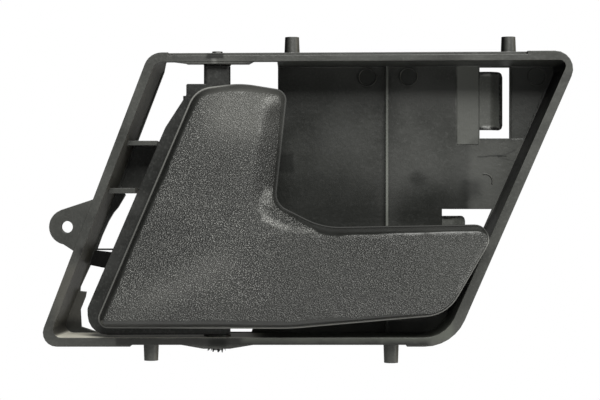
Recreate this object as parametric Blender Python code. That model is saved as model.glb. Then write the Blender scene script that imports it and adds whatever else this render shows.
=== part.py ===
"""Interior car-door pull handle: a slanted tray housing with an L-shaped lever on an upright pin.

X runs to the lever's free end, Z up, and the front faces -Y. The origin is on the tray's rear face.
"""

import math

import bmesh
import bpy
from mathutils import Matrix, Vector

MM = 0.001

# Depths along Y, from the tray's rear face (0) to the front (negative).
TRAY_FRONT = -2.0
RIM_FRONT = -20.0
CARRIER_REAR = -14.5
CARRIER_FRONT = -17.0
COVER_REAR = -17.3
FACE_FRONT = -27.0

# Hinge.
AXIS_X, AXIS_Y = -27.6, -13.5
PIN_RADIUS = 1.6
RUNNING_GAP = 0.15
GAP = 0.3
COLUMN_HALF_WIDTH, COLUMN_REAR = 4.0, -9.8
COLUMN_TOP, COLUMN_BOTTOM = 40.5, -41.3
SPRING_BAY = (-9.0, 5.0)  # Z range where the column is cut away round the coil

# Housing walls.
WALL_CORNERS = [(-82.0, -44.85, 4.2), (44.1, -44.85, 13.3), (83.3, 44.8, 5.5), (-47.9, 44.2, 5.5)]
MOUTH_CORNERS = [(-78.3, -42.1, 2.5), (41.8, -42.1, 10.0), (79.2, 42.0, 1.8), (-46.1, 41.4, 3.5)]
FLOOR_CORNERS = [(-77.0, -42.1, 2.5), (41.3, -42.1, 10.0), (78.5, 41.6, 2.0), (-44.9, 41.0, 3.5)]
# The tray stops short of the left wall. Its uneven edge runs down the wall from the top.
OPEN_SIDE = [
    (-66.0, -41.9, 0), (-17.5, -41.9, 0), (-10.8, -20.0, 0), (-10.8, 8.0, 0), (-9.2, 15.0, 0),
    (-9.2, 40.7, 0), (-44.65, 40.5, 0),
    (-58.6, 4.0, 0), (-57.1, 1.1, 0), (-59.4, -2.8, 0), (-60.8, -4.4, 0), (-62.4, -7.1, 0),
    (-64.4, -11.5, 0), (-66.0, -15.9, 0), (-68.4, -21.5, 0), (-71.3, -27.8, 0), (-71.4, -29.1, 0),
    (-69.4, -29.3, 0), (-69.7, -30.9, 0), (-71.3, -34.9, 0), (-71.0, -40.3, 0),
]
# The bars' middle stretches step in: X range of each, the top one's step and the bottom one's height.
TOP_LEDGE, BOTTOM_LEDGE = (-42.2, 66.7), (-53.7, 30.1)
LEDGE_DEPTH, LEDGE_STEP, BOTTOM_LEDGE_Z = 2.6, 0.95, -44.3
OUTSIDE = 47.0  # beyond both bars
# Over the open side the top bar is only a rail, and the left wall's slope carries on up to it.
TOP_RAIL_REAR, TOP_RAIL_UNDERSIDE = -7.5, 42.4
OPEN_TOP = [(-44.9, 40.0, 0), (-9.2, 40.0, 0), (-9.2, TOP_RAIL_UNDERSIDE, 0), (-43.5, TOP_RAIL_UNDERSIDE, 0)]
RING_THICKNESS, RING_HALF_WIDTH, RING_POCKET_RADIUS = 0.8, 2.7, 3.3
UPPER_POCKET, LOWER_POCKET = 43.3, -44.6  # the push rings' seats in the bars
COLLAR_RADIUS = 4.2  # thrust collars that meet the column's ends
PEG_Y, PEG_BASE_RADIUS, PEG_TIP_RADIUS = -14.4, 2.4, 2.15
PEGS = [(-4.7, 49.3), (61.5, 49.4), (25.6, -50.2), (-47.8, -49.5)]  # x and the tip's z
EAR_X, EAR_Z, EAR_RADIUS, EAR_HOLE, EAR_THICKNESS = -72.8, -8.6, 5.4, 1.8, 2.6

BUFFER_CORNERS = [(-67.9, -20.7, 0), (-62.5, -21.8, 0), (-60.3, -16.9, 0), (-66.3, -16.2, 0)]
BUFFER_STEM = (-65.3, -19.0)

# Lever outline, anticlockwise from the lower left: x, z and corner radius.
COVER_CORNERS = [
    (-64.9, -39.2, 3.0),
    (-5.3, -39.4, 60.0),
    (42.3, -35.2, 12.0),
    (58.4, -7.7, 4.5),
    (4.5, -8.6, 22.0),
    (-9.6, -1.5, 5.0),
    (-6.0, 32.6, 3.5),
    (-20.3, 34.9, 30.0),
    (-34.0, 33.2, 8.0),
]
# Shell section: inset from the outline and depth, from the inner roof round the edge to the face.
# The skirt behind the edge is set in, so that the arm's end clears the rim.
COVER_SECTION = [
    (8.0, -24.8), (4.2, -24.0), (2.3, -21.8), (2.2, COVER_REAR), (0.9, COVER_REAR), (0.9, -20.35),
    (0.0, -20.75), (0.0, -22.0), (0.5, -23.5), (1.5, -24.8), (3.2, -25.9), (5.4, -26.7), (8.0, FACE_FRONT),
]
CARRIER_CORNERS = [
    (-67.0, -33.4, 3.0),
    (-66.7, -41.5, 6.0),
    (-23.6, -41.4, 0.5),
    (-23.6, -38.2, 0.5),
    (-5.3, -38.4, 60.0),
    (41.2, -34.6, 4.5),
    (54.6, -8.7, 2.5),
    (4.1, -9.6, 22.0),
    (-10.7, -2.3, 5.0),
    (-7.2, 31.2, 3.0),
    (-20.0, 33.4, 0.0),
    (-31.4, 34.9, 0.5),
    (-36.9, 34.9, 0.5),
    (-36.9, 31.5, 1.0),
    (-43.3, 21.6, 8.0),
]
SCREWS = {"left": (-50.0, -28.0), "right": (36.0, -22.5), "top": (-17.0, 22.0)}
CRANK_X, CRANK_Y, CRANK_Z = -37.5, -1.5, (8.0, 10.5)
CLIP_ROD_RADIUS = 1.25

PARTS = None
TOOLS = None


def collection(name):
    made = bpy.data.collections.new(name)
    bpy.context.scene.collection.children.link(made)
    return made


def place(name, mesh, pivot=(0, 0, 0), helper=False):
    """An object for a mesh in world millimetres, with its origin at the pivot."""
    mesh.transform(Matrix.Translation(-Vector(pivot)))
    mesh.transform(Matrix.Scale(MM, 4))
    obj = bpy.data.objects.new(name, mesh)
    obj.location = Vector(pivot) * MM
    (TOOLS if helper else PARTS).objects.link(obj)
    if helper:
        obj.hide_render = True
        obj.display_type = "WIRE"
    return obj


def finished(bm, name):
    bmesh.ops.recalc_face_normals(bm, faces=bm.faces)
    mesh = bpy.data.meshes.new(name)
    bm.to_mesh(mesh)
    bm.free()
    return mesh


def inset_corners(corners, inset):
    """The corners of a polygon whose sides have all moved in by inset."""
    moved = []
    for i, (x, z, radius) in enumerate(corners):
        here = Vector((x, z))
        before = (here - Vector(corners[i - 1][:2])).normalized()
        after = (Vector(corners[(i + 1) % len(corners)][:2]) - here).normalized()
        turn = before.x * after.y - before.y * after.x
        inward = Vector((-before.y - after.y, before.x + after.x)).normalized()
        reach = inset / max(0.2, inward.dot(Vector((-before.y, before.x))))
        if radius:
            radius = max(0.4, radius - inset) if turn > 0 else radius + inset
        moved.append((*(here + inward * reach), radius))
    return moved


def rounded(corners, inset=0.0, steps=5):
    """Points round a polygon of (x, z, radius) corners, with each corner as an arc."""
    points = []
    corners = inset_corners(corners, inset)
    for i, (x, z, radius) in enumerate(corners):
        here = Vector((x, z))
        if not radius:
            points.append(here)
            continue
        back = (Vector(corners[i - 1][:2]) - here).normalized()
        on = (Vector(corners[(i + 1) % len(corners)][:2]) - here).normalized()
        half = back.angle(on) / 2
        centre = here + (back + on).normalized() * radius / math.sin(half)
        start = here + back * radius / math.tan(half) - centre
        sweep = start.angle_signed(here + on * radius / math.tan(half) - centre)
        for step in range(steps + 1):
            points.append(centre + Matrix.Rotation(-sweep * step / steps, 2) @ start)
    return points


def solid_from_curve(curve, matrix):
    """The mesh of a filled 2D curve, in world millimetres and with its caps welded."""
    guide = bpy.data.objects.new("guide", curve)
    TOOLS.objects.link(guide)
    bpy.context.view_layer.update()
    mesh = bpy.data.meshes.new_from_object(guide.evaluated_get(bpy.context.evaluated_depsgraph_get()))
    bpy.data.objects.remove(guide)
    mesh.transform(matrix)
    bm = bmesh.new()
    bm.from_mesh(mesh)
    bmesh.ops.remove_doubles(bm, verts=bm.verts, dist=1e-4)
    return finished(bm, "solid")


def outline_curve(outlines, thickness):
    curve = bpy.data.curves.new("outline", "CURVE")
    curve.dimensions = "2D"
    curve.fill_mode = "BOTH"
    curve.extrude = thickness / 2
    for outline in outlines:
        spline = curve.splines.new("POLY")
        spline.points.add(len(outline) - 1)
        for point, (x, y) in zip(spline.points, outline):
            point.co = (x, y, 0, 1)
        spline.use_cyclic_u = True
    return curve


def slab(corners, front, rear, steps=5, holes=()):
    """A flat piece: its outline lies in XZ, and it runs from front to rear along Y."""
    outlines = [rounded(corners, steps=steps), *holes]
    lie_upright = Matrix.Rotation(math.pi / 2, 4, "X")
    middle = Matrix.Translation((0, (front + rear) / 2, 0))
    return solid_from_curve(outline_curve(outlines, rear - front), middle @ lie_upright)


def plate(corners, low, high, steps=5, holes=()):
    """A level piece: its outline lies in XY, and it runs from low to high along Z."""
    outlines = [rounded(corners, steps=steps), *holes]
    middle = Matrix.Translation((0, 0, (low + high) / 2))
    return solid_from_curve(outline_curve(outlines, high - low), middle)


def block(low, high):
    bm = bmesh.new()
    bmesh.ops.create_cube(bm, size=1.0)
    size = Vector(high) - Vector(low)
    bmesh.ops.scale(bm, vec=size, verts=bm.verts)
    bmesh.ops.translate(bm, vec=Vector(low) + size / 2, verts=bm.verts)
    return finished(bm, "block")


def rod(start, end, radius, end_radius=None, sides=24):
    """A round bar, or a cone, between two points."""
    start, end = Vector(start), Vector(end)
    along = end - start
    bm = bmesh.new()
    bmesh.ops.create_cone(
        bm, cap_ends=True, segments=sides, radius1=radius,
        radius2=radius if end_radius is None else end_radius, depth=along.length,
    )
    turn = Vector((0, 0, 1)).rotation_difference(along).to_matrix().to_4x4()
    bmesh.ops.transform(bm, matrix=Matrix.Translation((start + end) / 2) @ turn, verts=bm.verts)
    return finished(bm, "rod")


def loft(rings):
    """A closed body through rings of equal length, capped at both ends."""
    bm = bmesh.new()
    loops = [[bm.verts.new(point) for point in ring] for ring in rings]
    for first, second in zip(loops, loops[1:]):
        for i in range(len(first)):
            j = (i + 1) % len(first)
            bm.faces.new((first[i], first[j], second[j], second[i]))
    bm.faces.new(loops[0])
    bm.faces.new(loops[-1])
    return finished(bm, "loft")


def upright_ring(corners, y, inset=0.0, steps=5):
    return [(x, y, z) for x, z in rounded(corners, inset, steps)]


def combine(target, mesh, operation):
    """Joins a mesh to an object, or cuts it out of the object, with a live Boolean."""
    tool = place(f"{target.name}_tool", mesh, helper=True)
    step = target.modifiers.new(operation.lower(), "BOOLEAN")
    step.operation = operation
    step.object = tool
    step.solver = "EXACT"


def add(target, *meshes):
    for mesh in meshes:
        combine(target, mesh, "UNION")


def cut(target, *meshes):
    for mesh in meshes:
        combine(target, mesh, "DIFFERENCE")


def material(name, colour, roughness, metallic=0.0):
    made = bpy.data.materials.new(name)
    made.use_nodes = True
    shader = made.node_tree.nodes["Principled BSDF"]
    shader.inputs["Base Color"].default_value = (*colour, 1.0)
    shader.inputs["Roughness"].default_value = roughness
    shader.inputs["Metallic"].default_value = metallic
    return made


def dress(obj, colour, roughness, metallic=0.0):
    obj.data.materials.clear()
    obj.data.materials.append(material(obj.name, colour, roughness, metallic))
    obj.data.shade_smooth()
    obj.data.set_sharp_from_angle(angle=math.radians(35))


def hinged(name, pivot, pieces, parent=None):
    """An empty on a joint's axis that carries the pieces that turn with it."""
    empty = bpy.data.objects.new(name, None)
    empty.location = Vector(pivot) * MM
    PARTS.objects.link(empty)
    if parent:
        empty.parent = parent
        empty.location = Vector(pivot) * MM - parent.location
    for piece in pieces:
        piece.parent = empty
        piece.location = (0, 0, 0)
    return empty


def top_edge(x):
    """Height of the frame's outer top edge, which rises slightly to the right."""
    (right, high, _), (left, low, _) = WALL_CORNERS[2], WALL_CORNERS[3]
    return low + (x - left) * (high - low) / (right - left)


def make_walls():
    housing = place("housing", slab(WALL_CORNERS, RIM_FRONT, 0.0, steps=6))
    mouth = upright_ring(MOUTH_CORNERS, RIM_FRONT - 1.0)
    floor = upright_ring(FLOOR_CORNERS, TRAY_FRONT)
    cut(housing, loft([mouth, floor]), slab(OPEN_SIDE, TRAY_FRONT - 0.5, 1.0))
    return housing


def add_ledges(housing):
    """The bars' middle stretches step in at the front, which leaves a ledge behind the rim."""
    front, rear = RIM_FRONT - 1.0, RIM_FRONT + LEDGE_DEPTH
    left, right = TOP_LEDGE
    top = [(left, top_edge(left) - LEDGE_STEP, 0), (right, top_edge(right) - LEDGE_STEP, 0),
           (right, OUTSIDE, 0), (left, OUTSIDE, 0)]
    left, right = BOTTOM_LEDGE
    cut(housing, slab(top, front, rear), block((left, front, -OUTSIDE), (right, 1.0, BOTTOM_LEDGE_Z)))
    above = [OPEN_TOP[0], OPEN_TOP[1], (OPEN_TOP[2][0], OUTSIDE, 0), (OPEN_TOP[3][0], OUTSIDE, 0)]
    cut(housing, slab(above, TOP_RAIL_REAR, 1.0), slab(OPEN_TOP, rear, TOP_RAIL_REAR + 1.0))
    for x, tip in PEGS:
        root = math.copysign(43.0, tip)
        add(housing, rod((x, PEG_Y, root), (x, PEG_Y, tip), PEG_BASE_RADIUS, PEG_TIP_RADIUS, 20))


def add_hinge_bosses(housing):
    """Thicker stretches of both bars round the pin, with a seat for a push ring outside each."""
    front, middle, rear = RIM_FRONT + 0.2, RIM_FRONT + 1.8, -9.0
    upper_lip = [(-43.0, 43.0, 0), (-43.0, 41.6, 0), (-36.5, 40.8, 0), (-19.5, 40.8, 0), (-15.0, 41.6, 0),
                 (-15.0, 43.0, 0)]
    upper = [(-40.0, 43.0, 0), (-37.0, 41.4, 0), (-18.0, 41.4, 0), (-15.0, 43.0, 0)]
    lower = [(-40.0, -44.0, 0), (-31.5, -45.5, 1.5), (-23.5, -45.5, 1.5), (-14.5, -44.0, 0),
             (-14.5, -43.0, 0), (-40.0, -43.0, 0)]
    add(housing, slab(upper_lip, front, middle), slab(upper, middle - 0.4, rear), slab(lower, front, rear))
    for root, end in ((43.0, COLUMN_TOP + GAP), (-42.6, COLUMN_BOTTOM - GAP)):
        add(housing, rod((AXIS_X, AXIS_Y, root), (AXIS_X, AXIS_Y, end), COLLAR_RADIUS))
    cut(housing, rod((AXIS_X, AXIS_Y, -50.0), (AXIS_X, AXIS_Y, 50.0), PIN_RADIUS + RUNNING_GAP))
    for seat, outside in ((UPPER_POCKET, 50.0), (LOWER_POCKET, -50.0)):
        cut(housing, rod((AXIS_X, AXIS_Y, seat), (AXIS_X, AXIS_Y, outside), RING_POCKET_RADIUS))


def add_screw_ear(housing):
    rear = RIM_FRONT + EAR_THICKNESS
    web = [(-62.9, 0.4, 0), (-74.7, -3.5, 0), (-77.2, -11.7, 0), (-70.0, -16.4, 0)]
    add(housing, slab(web, RIM_FRONT + 0.05, rear))
    add(housing, rod((EAR_X, RIM_FRONT + 0.05, EAR_Z), (EAR_X, rear, EAR_Z), EAR_RADIUS, sides=32))
    cut(housing, rod((EAR_X, RIM_FRONT - 1, EAR_Z), (EAR_X, rear + 1, EAR_Z), EAR_HOLE))


def add_guide_bracket(housing):
    """Two shelves and a back, on the left wall, that the latch cable's sheath sits in."""
    add(housing, block((-57.5, -14.5, 16.3), (-46.0, -0.5, 17.7)))
    add(housing, block((-62.6, -14.5, 1.6), (-52.8, -0.5, 3.2)))
    back = [(-61.0, 2.0, 0), (-50.4, 2.0, 0), (-44.6, 17.2, 0), (-56.0, 17.2, 0)]
    add(housing, slab(back, -1.6, -0.1))


def add_buffer_lug(housing):
    """A small plate at the wall's rear edge, with the buffer's hole, and a thin rib above it."""
    lug = [(-69.5, -20.6, 0), (-63.0, -20.6, 0), (-61.8, -17.3, 0), (-68.2, -17.3, 0)]
    add(housing, slab(lug, -1.7, -0.1), block((-68.0, -1.7, -16.2), (-60.0, -0.1, -15.7)))
    x, z = BUFFER_STEM
    cut(housing, rod((x, -3.0, z), (x, 1.0, z), 1.2, sides=16))


def add_tray_details(housing):
    window_top = 41.2
    add(housing, block((24.5, -4.4, -42.4), (25.3, -1.0, 41.6)))
    add(housing, block((47.0, -2.2, 17.0), (53.7, -1.0, window_top + 0.4)))
    recess = [(64.1, 18.7, 0), (67.9, 18.7, 0), (77.8, window_top, 0), (64.1, window_top, 0)]
    cut(housing, slab(recess, -2.6, -1.4))
    cut(housing, block((54.1, -4.0, 18.9), (63.6, 1.0, window_top)))
    cut(housing, slab([(42.3, -20.0, 0), (50.7, -20.0, 0), (58.1, -3.3, 0), (42.3, -3.3, 0)], -4.0, 1.0))


def make_housing():
    housing = make_walls()
    add_ledges(housing)
    add_hinge_bosses(housing)
    add_screw_ear(housing)
    add_guide_bracket(housing)
    add_buffer_lug(housing)
    add_tray_details(housing)
    dress(housing, (0.032, 0.033, 0.031), 0.5)
    return housing


def make_pin():
    pin = place("hinge_pin", rod((AXIS_X, AXIS_Y, -46.4), (AXIS_X, AXIS_Y, 45.0), PIN_RADIUS))
    dress(pin, (0.25, 0.25, 0.26), 0.35, 1.0)


def make_push_ring(name, low):
    """A thin ring with inner teeth, pushed over the pin's end to keep it in."""
    teeth = 8
    hole = []
    for i in range(teeth * 2):
        angle = math.pi * i / teeth
        radius = PIN_RADIUS + (GAP if i % 2 else 0.6)
        hole.append((AXIS_X + radius * math.cos(angle), AXIS_Y + radius * math.sin(angle)))
    half = RING_HALF_WIDTH
    rim = [(AXIS_X + sx * half, AXIS_Y + sy * half, 2.2) for sx, sy in ((-1, -1), (1, -1), (1, 1), (-1, 1))]
    ring = place(name, plate(rim, low, low + RING_THICKNESS, holes=[hole]))
    dress(ring, (0.12, 0.12, 0.12), 0.45, 1.0)


def make_buffer():
    """A rubber block whose stem is pulled through the lug's hole."""
    x, z = BUFFER_STEM
    buffer = place("wall_buffer", slab(BUFFER_CORNERS, -5.2, -2.0))
    add(buffer, rod((x, -2.4, z), (x, 0.6, z), 0.85, sides=12))
    add(buffer, rod((x, 0.2, z), (x, 1.3, z), 1.7, 1.2, 16))
    dress(buffer, (0.006, 0.006, 0.006), 0.8)


def make_tongue(name, root_x, low, high, reach):
    """A snap tongue that curves back from the tray at a window's left edge."""
    thickness, sag = 1.3, 4.6
    start = root_x + GAP
    steps = 6
    front, rear = [], []
    for i in range(steps + 1):
        share = i / steps
        y = TRAY_FRONT + 0.1 + sag * share * share
        front.append((start + reach * share, y, 0))
        rear.append((start + reach * share, y + thickness, 0))
    tongue = place(name, plate(front + rear[::-1], low, high), pivot=(root_x, -1.2, 0))
    dress(tongue, (0.04, 0.041, 0.038), 0.45)
    hinged(f"{name}_flex", (root_x, -1.2, 0), [tongue])


def make_carrier():
    pivot = (AXIS_X, AXIS_Y, 0)
    carrier = place("lever_carrier", slab(CARRIER_CORNERS, CARRIER_FRONT, CARRIER_REAR), pivot)
    left, right = AXIS_X - COLUMN_HALF_WIDTH, AXIS_X + COLUMN_HALF_WIDTH
    column = [(left, CARRIER_FRONT, 1.2), (right, CARRIER_FRONT, 1.2), (right, COLUMN_REAR, 3.0),
              (left, COLUMN_REAR, 3.0)]
    add(carrier, plate(column, COLUMN_BOTTOM, COLUMN_TOP))
    crank = [(AXIS_X - 3.0, AXIS_Y - 2.6, 2), (AXIS_X + 3.6, AXIS_Y + 1.0, 2), (CRANK_X + 3.4, CRANK_Y + 3.2, 3),
             (CRANK_X - 3.6, CRANK_Y + 1.6, 3)]
    add(carrier, plate(crank, *CRANK_Z))
    add(carrier, block((-46.0, -14.8, 1.0), (-43.6, -11.4, 5.5)))
    for z in (-34.0, -22.0, 18.0, 30.0):
        add(carrier, block((-44.0 if z < 18 else -38.0, -14.8, z), (AXIS_X, -12.6, z + 1.4)))
    add(carrier, block((AXIS_X, -14.8, -31.0), (40.0, -12.8, -29.6)))
    low, high = SPRING_BAY
    cut(carrier, block((-32.6, -18.0, low), (-22.6, -9.0, high)))
    cut(carrier, rod((AXIS_X, AXIS_Y, -50.0), (AXIS_X, AXIS_Y, 50.0), PIN_RADIUS + RUNNING_GAP))
    cut(carrier, rod((CRANK_X, CRANK_Y, 5.0), (CRANK_X, CRANK_Y, 14.0), 1.45))
    for x, z in SCREWS.values():
        cut(carrier, rod((x, -18.0, z), (x, -14.0, z), 1.6, sides=16))
    dress(carrier, (0.03, 0.031, 0.029), 0.5)
    return carrier


def make_cover():
    rings = [upright_ring(COVER_CORNERS, y, inset) for inset, y in COVER_SECTION]
    cover = place("lever_cover", loft(rings), (AXIS_X, AXIS_Y, 0))
    for x, z in SCREWS.values():
        add(cover, rod((x, -25.4, z), (x, COVER_REAR, z), 3.0, 2.6, 20))
        cut(cover, rod((x, -24.4, z), (x, -16.0, z), 1.3, sides=16))
    dress(cover, (0.075, 0.077, 0.072), 0.55)
    return cover


def make_screw(name, x, z):
    screw = place(name, rod((x, -23.8, z), (x, -14.0, z), 1.0, sides=16), (AXIS_X, AXIS_Y, 0))
    add(screw, rod((x, CARRIER_REAR + GAP, z), (x, -12.8, z), 2.9, 2.4, 20))
    cut(screw, block((x - 2.0, -13.4, z - 0.35), (x + 2.0, -12.0, z + 0.35)))
    cut(screw, block((x - 0.35, -13.4, z - 2.0), (x + 0.35, -12.0, z + 2.0)))
    dress(screw, (0.35, 0.35, 0.36), 0.3, 1.0)
    return screw


def coil_points(radius, turns, low, high, sides=14):
    """Points along the coil, from the leg that lies on the carrier to the one on the tray."""
    points = [(-45.2, AXIS_Y + radius, high), (AXIS_X - 4.0, AXIS_Y + radius, high)]
    steps = int(turns * sides)
    for i in range(steps + 1):
        angle = math.pi / 2 - 2 * math.pi * i / sides
        z = high + (low - high) * i / steps
        points.append((AXIS_X + radius * math.cos(angle), AXIS_Y + radius * math.sin(angle), z))
    points.append((-4.2, TRAY_FRONT - GAP - 0.65, low))
    return points


def make_spring():
    wire = bpy.data.curves.new("return_spring", "CURVE")
    wire.dimensions = "3D"
    wire.bevel_depth = 0.6
    wire.bevel_resolution = 2
    wire.use_fill_caps = True
    points = coil_points(2.9, 7, -7.6, 3.6)
    spline = wire.splines.new("POLY")
    spline.points.add(len(points) - 1)
    for point, place_at in zip(spline.points, points):
        point.co = (*place_at, 1)
    mesh = solid_from_curve(wire, Matrix.Identity(4))
    spring = place("return_spring", mesh, (AXIS_X, AXIS_Y, 0))
    dress(spring, (0.4, 0.4, 0.42), 0.3, 1.0)
    return spring


def make_rod_clip(lever):
    """A clip that swivels in the crank's hole and grips the end of the latch rod."""
    low, high = CRANK_Z
    body_top = low - GAP
    pivot = (CRANK_X, CRANK_Y, 0)
    body = block((CRANK_X - 3.0, CRANK_Y - 2.6, 1.4), (CRANK_X + 3.0, CRANK_Y + 2.6, body_top))
    clip = place("rod_clip", body, pivot)
    add(clip, rod((CRANK_X, CRANK_Y, body_top - 0.5), (CRANK_X, CRANK_Y, high + 0.6), 1.15, sides=16))
    add(clip, rod((CRANK_X, CRANK_Y, high + GAP), (CRANK_X, CRANK_Y, high + 1.7), 2.0, 1.3, 16))
    cut(clip, rod((CRANK_X - 4.0, CRANK_Y, 3.9), (CRANK_X + 4.0, CRANK_Y, 3.9), CLIP_ROD_RADIUS, sides=16))
    cut(clip, block((CRANK_X - 4.0, CRANK_Y - 0.9, 0.0), (CRANK_X + 4.0, CRANK_Y + 0.9, 3.6)))
    dress(clip, (0.6, 0.58, 0.5), 0.45)
    hinged("rod_clip_swivel", pivot, [clip], lever)


def make_lever():
    pieces = [make_carrier(), make_cover(), make_spring()]
    pieces += [make_screw(f"cover_screw_{name}", x, z) for name, (x, z) in SCREWS.items()]
    lever = hinged("lever_hinge", (AXIS_X, AXIS_Y, 0), pieces)
    make_rod_clip(lever)


def main():
    global PARTS, TOOLS
    for obj in list(bpy.data.objects):
        bpy.data.objects.remove(obj)
    PARTS = collection("car_door_handle")
    TOOLS = collection("cutters")
    make_housing()
    make_pin()
    make_push_ring("upper_push_ring", UPPER_POCKET + GAP)
    make_push_ring("lower_push_ring", LOWER_POCKET - GAP - RING_THICKNESS)
    make_buffer()
    make_tongue("upper_latch_tongue", 54.1, 21.5, 39.8, 7.3)
    make_tongue("lower_latch_tongue", 42.3, -17.8, -5.4, 7.3)
    make_lever()


main()
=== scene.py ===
"""Looks of the interior car-door handle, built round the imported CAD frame."""
import math
import random

import bmesh
import bpy
from mathutils import Matrix, Vector
from mathutils.geometry import delaunay_2d_cdt


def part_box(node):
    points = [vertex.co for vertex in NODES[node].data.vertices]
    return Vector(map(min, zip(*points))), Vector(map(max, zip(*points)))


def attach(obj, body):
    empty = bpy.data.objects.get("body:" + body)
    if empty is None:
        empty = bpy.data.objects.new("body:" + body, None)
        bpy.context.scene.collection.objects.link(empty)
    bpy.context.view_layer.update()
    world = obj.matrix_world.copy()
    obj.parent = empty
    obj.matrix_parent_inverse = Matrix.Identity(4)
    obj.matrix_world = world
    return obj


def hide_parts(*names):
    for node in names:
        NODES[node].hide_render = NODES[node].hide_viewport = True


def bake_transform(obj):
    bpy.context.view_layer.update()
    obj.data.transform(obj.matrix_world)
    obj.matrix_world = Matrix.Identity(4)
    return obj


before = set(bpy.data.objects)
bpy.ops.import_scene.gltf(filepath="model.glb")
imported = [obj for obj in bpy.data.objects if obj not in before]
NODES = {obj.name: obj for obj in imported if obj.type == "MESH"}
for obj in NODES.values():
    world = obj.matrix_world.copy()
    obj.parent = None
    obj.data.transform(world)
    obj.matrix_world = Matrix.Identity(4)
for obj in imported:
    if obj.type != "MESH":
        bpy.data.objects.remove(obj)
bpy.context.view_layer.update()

MM = 0.001
HOUSING_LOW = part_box("housing")[0]
COVER_LOW, COVER_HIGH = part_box("lever_cover")
RIM_Y = HOUSING_LOW.y
NODE_TIPS = {name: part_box(name)[1].x / MM for name in ("upper_latch_tongue", "lower_latch_tongue")}
HINGE_X, HINGE_Y = -27.6, -13.5
TRAY_FRONT, WINDOW_STRIP_FRONT = -2.0, -1.4
CREASE_ANGLE = 35
LENS, SENSOR_WIDTH = 95.2, 36.0
CAMERA_X, CAMERA_Z, CAMERA_AWAY = -2.27, -0.45, 480.0  # away from the rim
FLOOR_SIZE, FLOOR_Y, FLOOR_DROP = 900.0, -50.0, 75.0
FLOOR_COLOUR = (0.85, 0.85, 0.85, 1)
# Colour of painted glints on the tips of the grain.
GRAIN_GLINT = (0.30, 0.301, 0.288)
# Colour of the painted highlight line along the lip.
EDGE_HIGHLIGHT = (0.19, 0.19, 0.18)
# Colour of the painted highlights on the grain's tips.
HIGHLIGHT_TIP = (0.34, 0.34, 0.33)
# Pale dust on up-facing faces at the bottom left, made lighter as painted light where the lever shades them.
DUST_AND_LIGHT = (0.5, 0.485, 0.42)
# A region is x, z, width, height, softness, angle, colour, share, in mm and degrees, seen from the front.
# Broad painted highlights and painted shade on the grained face:
PAINTED_COVER_LIGHT = [
    (-19.0, 26.0, 22.0, 16.0, 6.0, 0, (0.12, 0.12, 0.113), 0.45),
    (-26.0, 8.0, 16.0, 22.0, 7.0, 0, (0.010, 0.0105, 0.0095), 0.25),
    (-40.0, -27.0, 40.0, 7.0, 5.0, 28, (0.085, 0.085, 0.080), 0.3),
    (-46.0, -12.0, 14.0, 20.0, 6.0, -25, (0.008, 0.0084, 0.0078), 0.3),
    (22.0, -24.0, 66.0, 30.0, 8.0, 0, (0.008, 0.0084, 0.0075), 0.5),
    (-30.0, -36.0, 70.0, 9.0, 3.0, 0, (0.008, 0.0084, 0.0075), 0.45),
    (44.0, -20.0, 18.0, 20.0, 5.0, 0, (0.026, 0.027, 0.025), 0.5),
    (-11.8, 14.0, 6.6, 26.0, 1.6, -4, (0.007, 0.007, 0.0065), 0.5),
]
# Painted highlights on the grain: at the shoulder, in the inner corner and at the top. No colour, only a
# share.
PAINTED_HIGHLIGHT_REGIONS = [
    (-12.0, 0.6, 3.0, 4.6, 1.3, -20, 0.85), (-13.0, -4.5, 1.6, 5.5, 0.7, 28, 0.45),
    (-9.6, -7.4, 8.0, 1.5, 0.7, -25, 0.85), (-1.5, -9.4, 11.0, 1.3, 0.7, -10, 0.45),
    (14.0, -10.9, 24.0, 1.2, 0.7, -2, 0.22), (-10.0, 29.6, 6.0, 2.4, 1.0, 12, 0.55),
    (-14.0, 24.0, 1.6, 9.0, 0.8, -6, 0.3), (49.6, -20.5, 1.6, 18.0, 0.8, -31, 0.3),
]
# Patches on the tray: painted light on its lit middle, painted shade lower down, a painted sheen on the
# smooth strip by the upper window, and other lighter or darker patches, flow lines, dark smudges and dark
# discs.
TRAY_REGIONS = [
    (4.0, 12.0, 34.0, 56.0, 6.0, 0, (0.010, 0.0108, 0.0098), 0.6),
    (33.0, 18.0, 38.0, 30.0, 9.0, 0, (0.040, 0.041, 0.038), 0.6),
    (40.0, -3.0, 26.0, 12.0, 4.0, 0, (0.006, 0.0065, 0.0055), 0.8),
    (8.0, -2.0, 34.0, 16.0, 6.0, 0, (0.006, 0.0065, 0.0055), 0.8),
    (40.0, 22.0, 20.0, 26.0, 5.0, 0, (0.060, 0.061, 0.057), 0.6),
    (32.0, 24.0, 5.0, 9.0, 3.0, 20, (0.085, 0.087, 0.082), 0.5),
    (10.0, 22.0, 12.0, 16.0, 4.0, 10, (0.034, 0.036, 0.033), 0.45),
    (50.4, 29.5, 7.2, 25.0, 0.3, 0, (0.19, 0.195, 0.18), 0.95),
    (62.0, 6.5, 22.0, 24.0, 1.6, 0, (0.098, 0.10, 0.093), 0.9),
    (51.5, 3.0, 6.0, 6.0, 1.8, 0, (0.005, 0.005, 0.005), 0.7),
    (34.7, 6.3, 4.4, 4.4, 1.6, 45, (0.005, 0.005, 0.005), 0.7),
    (70.5, 30.0, 13.2, 23.0, 0.3, 0, (0.036, 0.038, 0.035), 0.9),
    (58.0, 13.3, 9.0, 0.5, 0.22, 0, (0.006, 0.006, 0.006), 0.8),
    (62.5, 14.1, 6.0, 0.45, 0.2, 22, (0.006, 0.006, 0.006), 0.6),
    (63.0, 12.2, 6.5, 0.4, 0.2, -14, (0.006, 0.006, 0.006), 0.5),
    (18.8, 38.1, 5.6, 5.6, 1.0, 45, (0.004, 0.004, 0.004), 0.6),
    (31.7, 38.3, 5.6, 5.6, 1.0, 45, (0.004, 0.004, 0.004), 0.6),
    (-7.0, 11.2, 5.6, 6.0, 0.8, 0, (0.003, 0.003, 0.003), 0.85),
]
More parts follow.
